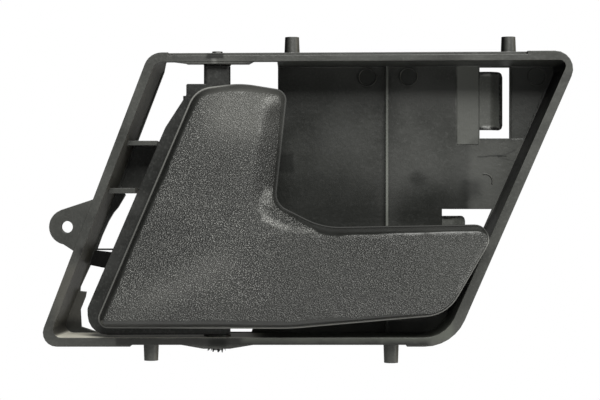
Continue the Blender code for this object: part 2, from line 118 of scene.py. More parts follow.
# Painted light in the shade under the lever and on the left wall, and painted shade in the left wall's lower
# corner.
SHADED_REGIONS = [
    (12.0, -39.6, 64.0, 6.6, 1.2, 0, (0.055, 0.059, 0.050), 0.9),
    (-71.5, -30.0, 10.0, 19.0, 2.5, 0, (0.055, 0.052, 0.045), 0.6),
    (-73.0, -39.5, 9.0, 3.4, 1.2, 0, (0.004, 0.004, 0.0035), 0.6),
]
# Patches on the rim and the ear: painted shade along the bottom bar, painted shadow at both hinge bosses, a
# painted highlight on the upper boss, dark lines and spots at the rim's inner edge on the left, and other
# lighter or darker tone.
RIM_REGIONS = [
    (-2.0, -43.4, 112.0, 2.6, 0.6, 0, (0.009, 0.0092, 0.0084), 0.9),
    (-73.0, -9.0, 16.0, 16.0, 3.0, 0, (0.020, 0.0205, 0.019), 0.5),
    (-65.2, -11.4, 19.0, 0.7, 0.3, 64.5, (0.003, 0.003, 0.003), 0.85),
    (-67.6, -16.4, 3.4, 3.4, 1.2, 0, (0.003, 0.003, 0.003), 0.8),
    (-27.2, -43.4, 5.6, 3.0, 1.5, 0, (0.003, 0.0033, 0.003), 0.8),
    (-28.0, 43.2, 5.4, 1.8, 0.5, 0, (0.003, 0.0033, 0.003), 0.85),
    (-35.0, 42.6, 12.0, 1.4, 0.6, -3, (0.006, 0.006, 0.006), 0.5),
    (-28.2, 41.7, 1.4, 1.2, 0.5, 0, (0.11, 0.11, 0.105), 0.6),
    (42.0, -43.4, 10.0, 3.0, 1.0, 8, (0.060, 0.060, 0.056), 0.6),
    (78.5, 37.0, 5.0, 3.0, 1.2, 0, (0.006, 0.006, 0.006), 0.45),
]
# Painted shade in dark lines along the snap tongues' edges.
TONGUE_REGIONS = [
    (57.5, 39.4, 9.0, 1.0, 0.2, 0, (0.002, 0.002, 0.002), 0.9),
    (57.5, 21.9, 9.0, 1.0, 0.2, 0, (0.002, 0.002, 0.002), 0.9),
    (61.0, 30.6, 1.0, 20.0, 0.2, 0, (0.002, 0.002, 0.002), 0.9),
    (46.0, -5.8, 9.0, 1.0, 0.2, 0, (0.002, 0.002, 0.002), 0.9),
]
# Rings left by ejector pins: x, z, radius, y of the surface they stand on, and where the arc starts and ends.
FULL_TURN = (0.0, 1.0)
EJECTOR_MARKS = [
    (18.8, 38.1, 3.0, TRAY_FRONT, FULL_TURN),
    (31.7, 38.3, 3.0, TRAY_FRONT, FULL_TURN),
    (72.1, 38.4, 3.0, WINDOW_STRIP_FRONT, FULL_TURN),
    (55.8, 5.4, 2.6, TRAY_FRONT, (-0.06, 0.30)),
]
WANDER = 1.2  # how far a region's edge strays
# Fades on the housing from one depth to another, as y, and the rib's place.
RIM_FADE, TRAY_FADE, SHADE_FADE = (-16.0, -15.0), (-6.0, -5.0), (-15.0, -4.0)
RIB_X, RIB_FADE, RIB_TOP, RIB_FOOT = 24.9, (0.5, 0.7), (-4.6, -4.5), (-4.1, -3.9)


# Camera, light and surroundings

def make_camera():
    """A level camera straight in front of the rim."""
    data = bpy.data.cameras.new("camera")
    data.lens, data.sensor_width = LENS, SENSOR_WIDTH
    camera = bpy.data.objects.new("camera", data)
    camera.location = (CAMERA_X * MM, RIM_Y - CAMERA_AWAY * MM, CAMERA_Z * MM)
    camera.rotation_euler = (math.pi / 2, 0, 0)
    bpy.context.scene.collection.objects.link(camera)
    bpy.context.scene.camera = camera


def make_world(strength):
    """White as seen, and dimmer as a light on the object."""
    world = bpy.data.worlds.new("studio")
    world.use_nodes = True
    tree = world.node_tree
    tree.nodes.clear()
    seen, light = (tree.nodes.new("ShaderNodeBackground") for _ in range(2))
    seen.inputs["Strength"].default_value = 1.0
    seen.inputs["Color"].default_value = (1, 1, 1, 1)
    light.inputs["Color"].default_value = (1, 1, 0.99, 1)
    light.inputs["Strength"].default_value = strength
    path = tree.nodes.new("ShaderNodeLightPath")
    mix = tree.nodes.new("ShaderNodeMixShader")
    out = tree.nodes.new("ShaderNodeOutputWorld")
    tree.links.new(path.outputs["Is Camera Ray"], mix.inputs["Fac"])
    tree.links.new(light.outputs[0], mix.inputs[1])
    tree.links.new(seen.outputs[0], mix.inputs[2])
    tree.links.new(mix.outputs[0], out.inputs["Surface"])
    bpy.context.scene.world = world


def area_light(name, at, aim, size, power, colour=(1, 1, 1)):
    data = bpy.data.lights.new(name, "AREA")
    data.shape = "RECTANGLE"
    data.size, data.size_y = size
    data.energy = power
    data.color = colour
    light = bpy.data.objects.new(name, data)
    light.location = at
    light.rotation_mode = "QUATERNION"
    light.rotation_quaternion = (Vector(aim) - Vector(at)).to_track_quat("-Z", "Y")
    bpy.context.scene.collection.objects.link(light)


def make_stage():
    """The pale floor under the object."""
    height = HOUSING_LOW.z - FLOOR_DROP * MM
    bpy.ops.mesh.primitive_plane_add(size=1.0, location=(0, FLOOR_Y * MM, height))
    floor = bpy.context.object
    floor.name = "floor"
    floor.scale = (FLOOR_SIZE * MM, FLOOR_SIZE * MM, 1)
    paint = bpy.data.materials.new("floor")
    paint.use_nodes = True
    shader = paint.node_tree.nodes["Principled BSDF"]
    shader.inputs["Base Color"].default_value = FLOOR_COLOUR
    shader.inputs["Roughness"].default_value = 0.7
    floor.data.materials.append(paint)


# Materials

class Look:
    """A Principled material with a few helpers for its nodes."""

    def __init__(self, name, colour, roughness, metallic=0.0, specular=0.5):
        self.material = bpy.data.materials.new(name)
        self.material.use_nodes = True
        self.tree = self.material.node_tree
        self.shader = self.tree.nodes["Principled BSDF"]
        self.shader.inputs["Base Color"].default_value = (*colour, 1)
        self.shader.inputs["Roughness"].default_value = roughness
        self.shader.inputs["Metallic"].default_value = metallic
        self.shader.inputs["Specular IOR Level"].default_value = specular
        self.place = self.node("ShaderNodeTexCoord").outputs["Object"]

    def node(self, kind, **values):
        made = self.tree.nodes.new(kind)
        for key, value in values.items():
            if key in made.inputs:
                made.inputs[key].default_value = value
            else:
                setattr(made, key, value)
        return made

    def link(self, source, target):
        self.tree.links.new(source, target)

    def stretched(self, x, y, z):
        mapping = self.node("ShaderNodeMapping")
        mapping.inputs["Scale"].default_value = (x, y, z)
        self.link(self.place, mapping.inputs["Vector"])
        return mapping.outputs["Vector"]

    def noise(self, scale, detail=3.0, vector=None, roughness=0.5):
        made = self.node("ShaderNodeTexNoise", Scale=scale, Detail=detail, Roughness=roughness)
        self.link(vector or self.place, made.inputs["Vector"])
        return made.outputs["Fac"]

    def spread(self, value, low, high, to_low, to_high, smooth=False):
        made = self.node("ShaderNodeMapRange")
        made.interpolation_type = "SMOOTHSTEP" if smooth else "LINEAR"
        self.link(value, made.inputs["Value"])
        made.inputs["From Min"].default_value = low
        made.inputs["From Max"].default_value = high
        made.inputs["To Min"].default_value = to_low
        made.inputs["To Max"].default_value = to_high
        return made.outputs["Result"]

    def fade(self, place, span, to_low=0, to_high=1, smooth=False):
        """Goes from one value to another along a span of a coordinate, in mm."""
        return self.spread(place, span[0] * MM, span[1] * MM, to_low, to_high, smooth)

    def product(self, first, second, *more):
        for value in (second, *more):
            first = self.math("MULTIPLY", first, value)
        return first

    def math(self, operation, first, second):
        made = self.node("ShaderNodeMath", operation=operation)
        for i, value in enumerate((first, second)):
            if isinstance(value, (int, float)):
                made.inputs[i].default_value = value
            else:
                self.link(value, made.inputs[i])
        return made.outputs["Value"]

    def mix(self, factor, first, second):
        made = self.node("ShaderNodeMix", data_type="RGBA")
        self.link(factor, made.inputs["Factor"])
        for socket, value in ((made.inputs[6], first), (made.inputs[7], second)):
            if isinstance(value, tuple):
                socket.default_value = (*value, 1)
            else:
                self.link(value, socket)
        return made.outputs[2]

    def region(self, x, z, width, height, soft, share, angle=0.0):
        """A soft-edged box seen from the front, with its centre, size and edge in mm."""
        if not hasattr(self, "wandering"):
            wobble = self.node("ShaderNodeTexNoise", Scale=240.0, Detail=3.0)
            self.link(self.place, wobble.inputs["Vector"])
            moved = self.node("ShaderNodeVectorMath", operation="MULTIPLY_ADD")
            self.link(wobble.outputs["Color"], moved.inputs[0])
            moved.inputs[1].default_value = (WANDER * MM,) * 3
            self.link(self.place, moved.inputs[2])
            self.wandering = moved.outputs[0]
        turned = self.node("ShaderNodeMapping", vector_type="TEXTURE")
        turned.inputs["Location"].default_value = ((x + WANDER / 2) * MM, 0, (z + WANDER / 2) * MM)
        turned.inputs["Rotation"].default_value = (0, -math.radians(angle), 0)
        self.link(self.wandering, turned.inputs["Vector"])
        split = self.node("ShaderNodeSeparateXYZ")
        self.link(turned.outputs["Vector"], split.inputs[0])
        for axis, size in ((0, width), (2, height)):
            away = self.math("ABSOLUTE", split.outputs[axis], 0.0)
            inside = self.fade(away, (size / 2 - soft, size / 2 + soft), 1, 0, smooth=True)
            share = self.math("MULTIPLY", inside, share)
        return share

    def tinted(self, colour, regions, within=None):
        """The colour with each region's tint mixed in, kept to a mask if there is one."""
        for x, z, width, height, soft, angle, tint, share in regions:
            mask = self.region(x, z, width, height, soft, share, angle)
            if within:
                mask = self.math("MULTIPLY", mask, within)
            colour = self.mix(mask, colour, tint)
        return colour

    def axis(self, source, index):
        split = self.node("ShaderNodeSeparateXYZ")
        self.link(source, split.inputs[0])
        return split.outputs[index]

    def bump(self, height, distance, strength=1.0, below=None):
        made = self.node("ShaderNodeBump", Distance=distance, Strength=strength)
        self.link(height, made.inputs["Height"])
        if below:
            self.link(below, made.inputs["Normal"])
        return made.outputs["Normal"]


def on_rib(look, across, back, height):
    """Where a painted highlight lies on the front of the tray's rib, brighter lower down."""
    away = look.math("ABSOLUTE", look.math("SUBTRACT", across, RIB_X * MM), 0.0)
    shown = look.product(look.fade(away, RIB_FADE, 1, 0), look.fade(back, RIB_FOOT, 1, 0))
    shown = look.product(shown, look.fade(back, RIB_TOP))
    return look.product(shown, look.fade(height, (41.0, 10.0), 0.25, 0.75))


def shade_and_weather(look, colour):
    """Patches on the rim and tray, partly painted light and shade; painted shade deep in the tray and on
    faces turned left; painted light on faces turned right; a painted highlight on the rib; and pale dust with
    painted light at the bottom left.
    """
    across, back, height = (look.axis(look.place, i) for i in range(3))
    front = look.math("SUBTRACT", 1.0, look.fade(back, RIM_FADE))
    colour = look.tinted(colour, RIM_REGIONS, front)
    colour = look.tinted(colour, TRAY_REGIONS, look.fade(back, TRAY_FADE))
    # Painted shade, darker the deeper into the tray.
    depth = look.fade(back, SHADE_FADE, smooth=True)
    colour = look.mix(look.product(depth, 0.68), colour, (0.006, 0.0067, 0.0058))
    # A painted highlight along the rib's front edge.
    colour = look.mix(on_rib(look, across, back, height), colour, (0.105, 0.11, 0.10))
    normal = look.node("ShaderNodeTexCoord").outputs["Normal"]
    sideways, upward = look.axis(normal, 0), look.axis(normal, 2)
    # Painted shade, nearly black, on faces turned left, fading out towards the bottom.
    high_up = look.fade(height, (-18.0, 6.0), smooth=True)
    shade = look.product(look.spread(sideways, -0.4, -0.8, 0, 0.9), high_up)
    colour = look.mix(shade, colour, (0.001, 0.001, 0.001))
    # Painted light on faces turned right.
    colour = look.mix(look.spread(sideways, 0.4, 0.8, 0, 0.85), colour, (0.058, 0.055, 0.046))
    # Painted light and shade in shaded places, kept off the faces turned left.
    colour = look.tinted(colour, SHADED_REGIONS, look.math("SUBTRACT", 1.0, shade))
    # Pale dust with painted light on up-facing faces low down on the left.
    dust = look.product(look.spread(upward, 0.6, 0.9, 0, 0.9), look.fade(height, (-41.0, -41.8)),
                        look.fade(across, (-17.0, -13.0), 1, 0))
    return look.mix(dust, colour, DUST_AND_LIGHT)


def moulded_look(name, dark, light, roughness, regions=(), shaded_and_weathered=False):
    """Smooth moulded plastic: flow marks, dust, a slight orange-peel, and edges that catch the light."""
    look = Look(name, dark, roughness)
    clouds = look.noise(60.0, 5.0)
    flow = look.noise(150.0, 4.0, look.stretched(0.35, 1.0, 1.4))
    tone = look.product(look.math("ADD", clouds, flow), 0.5)
    colour = look.mix(look.spread(tone, 0.38, 0.62, 0, 1), dark, light)
    colour = look.tinted(colour, regions)
    fine = look.noise(1500.0, 2.0)
    colour = look.mix(look.spread(fine, 0.5, 0.75, 0.0, 0.35), colour, tuple(2.2 * v for v in light))
    # On the housing: painted light and shade, and dust.
    if shaded_and_weathered:
        colour = shade_and_weather(look, colour)
    look.link(colour, look.shader.inputs["Base Color"])
    brightness = look.node("ShaderNodeRGBToBW")
    look.link(colour, brightness.inputs[0])
    shine = look.spread(brightness.outputs[0], 0.003, 0.016, 0.12, 0.5)
    look.link(shine, look.shader.inputs["Specular IOR Level"])
    dust = look.noise(900.0, 2.0)
    rough = look.math("ADD", look.spread(clouds, 0.3, 0.7, roughness - 0.09, roughness + 0.09),
                      look.spread(dust, 0.55, 0.75, 0.0, 0.12))
    look.link(rough, look.shader.inputs["Roughness"])
    peel = look.noise(700.0, 3.0)
    scuffs = look.noise(2600.0, 1.0, look.stretched(1.0, 1.0, 0.15))
    height = look.math("ADD", peel, look.product(scuffs, 0.35))
    rounding = look.node("ShaderNodeBevel", samples=6, Radius=0.0003)
    look.link(look.bump(height, 0.0001, 0.55, rounding.outputs["Normal"]), look.shader.inputs["Normal"])
    return look.material


def grained_look():
    """Fine leather grain on the face, with a smooth border towards the outline, painted glints on its tips,
    painted highlights and shade, and a painted highlight line along the lip.
    """
    dark, light = (0.0045, 0.0048, 0.0043), (0.011, 0.0115, 0.0105)
    look = Look("grained_plastic", dark, 0.42)
    warped = look.node("ShaderNodeVectorMath", operation="MULTIPLY_ADD")
    look.link(look.noise(350.0, 2.0), warped.inputs[0])
    warped.inputs[1].default_value = (0.0008, 0.0008, 0.0008)
    look.link(look.stretched(0.85, 1.0, 1.15), warped.inputs[2])
    cells = look.node("ShaderNodeTexVoronoi", Scale=2350.0)
    cells.feature = "F1"
    look.link(warped.outputs[0], cells.inputs["Vector"])
    fine = look.noise(3400.0, 2.0)
    pebbles = look.math("ADD", look.spread(cells.outputs["Distance"], 0.0, 0.75, 1.0, 0.0),
                        look.product(fine, 0.45))
    edge = look.node("ShaderNodeAttribute", attribute_name="edge_mm").outputs["Fac"]
    ragged = look.math("ADD", edge, look.spread(look.noise(220.0, 2.0), 0.3, 0.7, -0.35, 0.35))
    grain = look.spread(ragged, 2.2, 3.2, 0.0, 1.0, smooth=True)
    patches = look.noise(45.0, 4.0)
    base = look.mix(look.spread(patches, 0.3, 0.7, 0, 1), dark, light)
    # Painted glints on the grain's tips, kept off the smooth border.
    glinted = look.mix(look.product(look.spread(pebbles, 0.72, 1.2, 0.0, 1.0), grain), base, GRAIN_GLINT)
    # Broad painted highlights and painted shade on the face.
    toned = look.tinted(glinted, PAINTED_COVER_LIGHT)
    # Painted highlights on the grain's tips, in the listed regions.
    highlight_tips = look.mix(look.product(look.spread(pebbles, 0.5, 1.0, 0.15, 1.0), grain), toned, HIGHLIGHT_TIP)
    highlighted = toned
    for x, z, width, height, soft, angle, share in PAINTED_HIGHLIGHT_REGIONS:
        highlighted = look.mix(look.region(x, z, width, height, soft, share, angle), highlighted, highlight_tips)
    # A painted highlight line along the lip, where edge_mm is below zero.
    edge_lit = look.mix(look.spread(edge, -0.9, -0.1, 0.75, 0.0), highlighted, EDGE_HIGHLIGHT)
    look.link(edge_lit, look.shader.inputs["Base Color"])
    matt = look.spread(edge, -0.1, 1.2, 0.28, 0.0)
    rough = look.math("ADD", look.spread(patches, 0.3, 0.7, 0.36, 0.48), matt)
    look.link(rough, look.shader.inputs["Roughness"])
    look.link(look.bump(look.product(pebbles, grain), 0.00026, 1.0), look.shader.inputs["Normal"])
    return look.material


def rubber_look():
    look = Look("buffer_rubber", (0.001, 0.001, 0.001), 0.75, specular=0.12)
    mottle = look.noise(500.0, 4.0)
    colour = look.mix(mottle, (0.0006, 0.0006, 0.0006), (0.002, 0.002, 0.002))
    look.link(colour, look.shader.inputs["Base Color"])
    look.link(look.bump(look.noise(1800.0, 2.0), 0.0001, 0.7), look.shader.inputs["Normal"])
    look.link(look.spread(mottle, 0.3, 0.7, 0.65, 0.85), look.shader.inputs["Roughness"])
    return look.material


def steel_look(name, dark, light, roughness, stretch):
    """Drawn or ground steel: fine marks along the work and a few dull patches."""
    look = Look(name, dark, roughness, metallic=1.0)
    marks = look.noise(1400.0, 3.0, look.stretched(*stretch))
    patches = look.noise(260.0, 3.0)
    colour = look.mix(look.spread(patches, 0.35, 0.65, 0, 1), dark, light)
    look.link(colour, look.shader.inputs["Base Color"])
    rough = look.spread(marks, 0.3, 0.7, roughness - 0.1, roughness + 0.15)
    look.link(rough, look.shader.inputs["Roughness"])
    look.link(look.bump(marks, 0.00005, 0.5), look.shader.inputs["Normal"])
    return look.material


def nylon_look():
    look = Look("clip_nylon", (0.5, 0.48, 0.42), 0.45)
    cloud = look.noise(180.0, 3.0)
    look.link(look.mix(cloud, (0.42, 0.40, 0.34), (0.60, 0.58, 0.51)), look.shader.inputs["Base Color"])
    look.link(look.spread(cloud, 0.3, 0.7, 0.38, 0.52), look.shader.inputs["Roughness"])
    look.link(look.bump(look.noise(900.0, 2.0), 0.00008, 0.5), look.shader.inputs["Normal"])
    look.shader.inputs["Subsurface Weight"].default_value = 0.15
    look.shader.inputs["Subsurface Radius"].default_value = (0.002, 0.002, 0.0015)
    return look.material


# Geometry helpers

def piece(name, bm, body, look, smooth_angle):
    """A new object that rides on a body."""
    obj = mesh_object(name, bm, look, smooth_angle)
    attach(obj, body)
    return obj


def mesh_object(name, bm, look, smooth_angle=CREASE_ANGLE):
    bmesh.ops.recalc_face_normals(bm, faces=bm.faces)
    mesh = bpy.data.meshes.new(name)
    bm.to_mesh(mesh)
    bm.free()
    obj = bpy.data.objects.new(name, mesh)
    bpy.context.scene.collection.objects.link(obj)
    obj.data.materials.append(look)
    mesh.shade_smooth()
    mesh.set_sharp_from_angle(angle=math.radians(smooth_angle))
    return obj


def weld(node):
    """Joins a CAD node's separate triangles, so that its curves shade smoothly and its edges stay crisp."""
    joined = node.modifiers.new("weld", "WELD")
    joined.merge_threshold = 2e-6
    crisp = node.modifiers.new("crisp", "EDGE_SPLIT")
    crisp.split_angle = math.radians(34)


def dress(node, look):
    """Gives a CAD node its material and smooth shading."""
    obj = NODES[node]
    obj.data.materials.clear()
    obj.data.materials.append(look)
    obj.data.shade_smooth()
    obj.data.set_sharp_from_angle(angle=math.radians(CREASE_ANGLE))


def inset_corners(corners, inset):
    """The corners, x, z and radius, of the same outline moved inwards."""
    moved = []
    for i, (x, z, radius) in enumerate(corners):
        here = Vector((x, z))
        before = (here - Vector(corners[i - 1][:2])).normalized()
        after = (Vector(corners[(i + 1) % len(corners)][:2]) - here).normalized()
        turn = before.x * after.y - before.y * after.x
        inward = Vector((-before.y - after.y, before.x + after.x)).normalized()
        reach = inset / max(0.2, inward.dot(Vector((-before.y, before.x))))
        if radius:
            radius = max(0.4, radius - inset) if turn > 0 else radius + inset
        moved.append((*(here + inward * reach), radius))
    return moved


def rounded(corners, inset):
    """Points on the arcs of an outline's rounded corners, moved in by inset."""
    points = []
    corners = inset_corners(corners, inset)
    for i, (x, z, radius) in enumerate(corners):
        here = Vector((x, z))
        if not radius:
            points.append(here)
            continue
        back = (Vector(corners[i - 1][:2]) - here).normalized()
        on = (Vector(corners[(i + 1) % len(corners)][:2]) - here).normalized()
        half = back.angle(on) / 2
        centre = here + (back + on).normalized() * radius / math.sin(half)
        start = here + back * radius / math.tan(half) - centre
        sweep = start.angle_signed(here + on * radius / math.tan(half) - centre)
        for step in range(ARC_STEPS + 1):
            points.append(centre + Matrix.Rotation(-sweep * step / ARC_STEPS, 2) @ start)
    return points


# Lever cover

COVER_CORNERS = [
    (-64.9, -39.2, 3.0), (-5.3, -39.4, 60.0), (42.3, -35.2, 12.0), (58.4, -7.7, 4.5), (4.5, -8.6, 22.0),
    (-9.6, -1.5, 5.0), (-6.0, 32.6, 3.5), (-20.3, 34.9, 30.0), (-34.0, 33.2, 8.0),
]
ARC_STEPS, SIDE_STEP = 9, 2.5  # steps round each corner, and the length of a step between two corners
DEEPEST, ROLL_RINGS = 8.6, 24  # how far in the last ring lies, and how many rings lead to it
# The face's triangles: their side, the row spacing as a share of it, and the gap to the last ring.
CAP_STEP, CAP_ROW, CAP_MARGIN = 1.6, 0.87, 0.7
MIDDLE_OF_FACE = 20.0  # the edge distance given to the face's middle
LIP, LIP_RISE = 0.6, 6.3  # width of the flat lip at the outline, and how far it lies behind the face
# Width of the rolled edge at points round the outline: x, z, width.
ROLL_WIDTHS = [
    (-65, -39, 2.5), (-52, -10, 2.2), (-40, 20, 2.3), (-33, 33, 3.0), (-20, 34, 2.9), (-8, 31, 4.8),
    (-7, 22, 7.0), (-8.5, 12, 8.2), (-9, 3, 8.2), (-7, -2, 7.6), (0, -6, 5.0), (6, -8, 3.6), (14, -9, 2.7),
    (30, -8.6, 2.3), (50, -8, 2.1), (54, -12, 1.4), (49, -23, 1.25), (42, -34, 1.3), (20, -37.5, 1.8),
    (-5, -39, 2.3), (-40, -39, 2.7),
]


def roll_width(x, z):
    """Width of the rolled edge here, blended from the nearest listed points."""
    total = share = 0.0
    for px, pz, width in ROLL_WIDTHS:
        weight = 1.0 / (0.5 + math.hypot(x - px, z - pz)) ** 4
        total += weight * width
        share += weight
    return total / share


def edge_highlight_share(x, z):
    """How strong the painted highlight line on the lip is: strong below and at the arm's end, hardly seen
    along the top.
    """
    above = smooth(z, -14.0, -10.0) * smooth(x, -30.0, -20.0)
    left = smooth(-x, 22.0, 50.0)
    return (1.0 - 0.5 * left) * (1.0 - 0.9 * above)


def roll_height(inset, width):
    """Share of the rolled edge's height at this distance from the lip."""
    power = 1.62 - 0.45 * smooth(width, 3.0, 7.0)
    short = 1.0 - min(1.0, inset / (width - LIP))
    return max(0.0, 1.0 - short ** power) ** (1 / power)


def outline_points(inset):
    """Points round the cover's outline, moved in by inset, always as many and in step with each other."""
    arcs, steps = rounded(COVER_CORNERS, inset), ARC_STEPS + 1
    points = []
    for corner, gap in enumerate(STRAIGHTS):
        points += arcs[corner * steps:(corner + 1) * steps]
        start, end = points[-1], arcs[(corner + 1) * steps % len(arcs)]
        points += [start.lerp(end, (i + 1) / (gap + 1)) for i in range(gap)]
    return points


def straight_counts():
    """How many points each straight run between two corners takes."""
    arcs, steps = rounded(COVER_CORNERS, 0.0), ARC_STEPS + 1
    counts = []
    for corner in range(len(COVER_CORNERS)):
        start, end = arcs[corner * steps + steps - 1], arcs[(corner + 1) * steps % len(arcs)]
        counts.append(int((end - start).length / SIDE_STEP))
    return counts


STRAIGHTS = straight_counts()


def cover_cap(bm, ring, outline):
    """Fills the last ring with a crowned face of even triangles."""
    xs, zs = [p.x for p in outline], [p.y for p in outline]
    inside = []
    for row in range(int((max(zs) - min(zs)) / (CAP_STEP * CAP_ROW))):
        for column in range(int((max(xs) - min(xs)) / CAP_STEP) + 1):
            x = min(xs) + (column + row % 2 / 2) * CAP_STEP
            point = Vector((x, min(zs) + (row + 0.5) * CAP_STEP * CAP_ROW))
            if distance_to(outline, point) > CAP_MARGIN:
                inside.append(point)
    loop = [(i, (i + 1) % len(outline)) for i in range(len(outline))]
    verts, _, faces, source, _, _ = delaunay_2d_cdt(outline + inside, loop, [], 1, 1e-5)
    made = []
    for point, origin in zip(verts, source):
        known = [i for i in origin if i < len(outline)]
        if known:
            made.append(ring[known[0]])
        else:
            y = face_depth(DEEPEST + distance_to(outline, point))
            made.append(bm.verts.new(Vector((point.x, y, point.y)) * MM))
    for face in faces:
        bm.faces.new([made[i] for i in face])


def face_depth(inset):
    """Depth of the crowned face, which falls back a little towards its edges."""
    return COVER_LOW.y / MM + 0.02 + 0.55 * math.exp(-inset / 6.0)


def distance_to(outline, point):
    """Distance from a point inside the outline to its nearest side, and negative outside."""
    nearest, inside = 1e9, False
    for i, end in enumerate(outline):
        start = outline[i - 1]
        side = end - start
        share = max(0.0, min(1.0, (point - start).dot(side) / max(side.length_squared, 1e-12)))
        nearest = min(nearest, (start + side * share - point).length)
        if (end.y > point.y) != (start.y > point.y):
            crossing = start.x + (point.y - start.y) * side.x / side.y
            inside ^= point.x < crossing
    return nearest if inside else -nearest


def make_cover(look):
    """The grained shell: inner wall, skirt, lip, rolled edge and crowned face."""
    bm = bmesh.new()
    edge = bm.verts.layers.float.new("edge_mm")
    rear, front = COVER_HIGH.y / MM, COVER_LOW.y / MM
    lip = front + LIP_RISE
    inside = [(9.5, front + 2.6), (7.8, front + 4.0), (5.0, front + 5.6), (2.6, lip + 0.9), (2.2, rear)]
    skirt = [(1.2, rear), (0.95, rear - 0.3), (0.9, lip + 0.8)]
    bead = [(0.08, lip + 0.45), (0.0, lip + 0.3), (0.08, lip + 0.05), (0.24, lip - 0.1), (0.4, lip - 0.1)]
    loops = []
    for inset, y in inside + skirt + bead + [(LIP * 0.9, lip)]:
        loops.append([bm.verts.new(Vector((p.x, y, p.y)) * MM) for p in outline_points(inset)])
        for vert in loops[-1]:
            # Lip vertices get a negative edge_mm, which places the painted highlight line.
            shown = 1.0 if y < lip + 0.2 else 0.0
            vert[edge] = -shown * edge_highlight_share(vert.co.x / MM, vert.co.z / MM)
    outer, inner = outline_points(0.0), None
    for step in range(1, ROLL_RINGS + 1):
        inset = LIP + (DEEPEST - LIP) * (step / ROLL_RINGS) ** 1.7
        inner = outline_points(inset)
        loop = []
        for base, point in zip(outer, inner):
            width = roll_width(base.x, base.y)
            height = roll_height(inset - LIP, width)
            y = lip + (face_depth(inset) - lip) * height
            loop.append(bm.verts.new(Vector((point.x, y, point.y)) * MM))
            stretch = 1.0 + 1.2 * smooth(width, 3.5, 6.5) + 1.3 * smooth(-width, -2.1, -1.3)
            loop[-1][edge] = inset * stretch
        loops.append(loop)
    for first, second in zip(loops, loops[1:]):
        join_loops(bm, first, second)
    bm.faces.new(loops[0])
    before = set(bm.verts)
    cover_cap(bm, loops[-1], inner)
    for vert in bm.verts:
        if vert not in before:
            vert[edge] = MIDDLE_OF_FACE
    cover = piece("grained_cover", bm, "lever", look, 50)
    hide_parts("lever_cover")


# Snap tongues, spring, push rings and mould marks

TONGUE_GRID = (30, 34)
TONGUE_FRONT, TONGUE_BEND, TONGUE_THICK, TONGUE_FLAT = -1.93, 3.7, 1.25, 3.2
TONGUE_CORNER, TONGUE_RIM, TONGUE_RIM_HEIGHT = 1.6, 0.8, 0.35
WIRE_RADIUS, COIL_RADIUS, COIL_LOW, COIL_HIGH, COIL_TURNS, COIL_SIDES = 0.6, 2.9, -7.6, 3.6, 7, 26
UPPER_LEG_X, LOWER_LEG_END = -45.2, (-4.2, -2.95)
RING_TABS, RING_SHEET = 11, 0.22
MARK_SIDES = 40


def make_tongue(name, node, root_x, low, high, look):
    """A tongue that leaves the tray's edge flat, then bends back, with a raised rim and rounded corners."""
    bm = bmesh.new()
    columns, rows = TONGUE_GRID
    left, right = root_x - 0.8, NODE_TIPS[node]
    layers = []
    for deep in (False, True):
        grid = []
        for i in range(columns + 1):
            x = left + (right - left) * i / columns
            past = max(0.0, x - right + TONGUE_CORNER)
            cut = TONGUE_CORNER - math.sqrt(max(0.0, TONGUE_CORNER ** 2 - past ** 2))
            line = []
            for j in range(rows + 1):
                z = low + cut + (high - low - 2 * cut) * j / rows
                bent = max(0.0, x - root_x - TONGUE_FLAT)
                y = TONGUE_FRONT + TONGUE_BEND * (bent / (right - root_x - TONGUE_FLAT)) ** 1.5
                margin = min(z - low, high - z, right - x)
                if deep:
                    y += TONGUE_THICK
                elif x > root_x + 0.4:
                    raised = 1.0 - smooth(margin, TONGUE_RIM - 0.25, TONGUE_RIM + 0.15)
                    y -= TONGUE_RIM_HEIGHT * raised * smooth(x, root_x + 0.4, root_x + 1.2)
                line.append(bm.verts.new(Vector((x, y, z)) * MM))
            grid.append(line)
        layers.append(grid)
    close_sheet(bm, *layers)
    tongue = mesh_object(name, bm, look)
    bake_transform(tongue)
    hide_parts(node)


def join_loops(bm, first, second):
    """A band of faces between two closed loops of vertices."""
    for i in range(len(first)):
        j = (i + 1) % len(first)
        bm.faces.new((first[i], first[j], second[j], second[i]))


def close_sheet(bm, front, back):
    """Faces for two grids of vertices and the four strips that join their edges."""
    for grid in (front, back):
        for first, second in zip(grid, grid[1:]):
            for j in range(len(first) - 1):
                bm.faces.new((first[j], first[j + 1], second[j + 1], second[j]))
    for a, b in ((front[0], back[0]), (front[-1], back[-1]),
                 ([row[0] for row in front], [row[0] for row in back]),
                 ([row[-1] for row in front], [row[-1] for row in back])):
        for j in range(len(a) - 1):
            bm.faces.new((a[j], a[j + 1], b[j + 1], b[j]))


def smooth(value, low, high):
    share = max(0.0, min(1.0, (value - low) / (high - low)))
    return share * share * (3 - 2 * share)


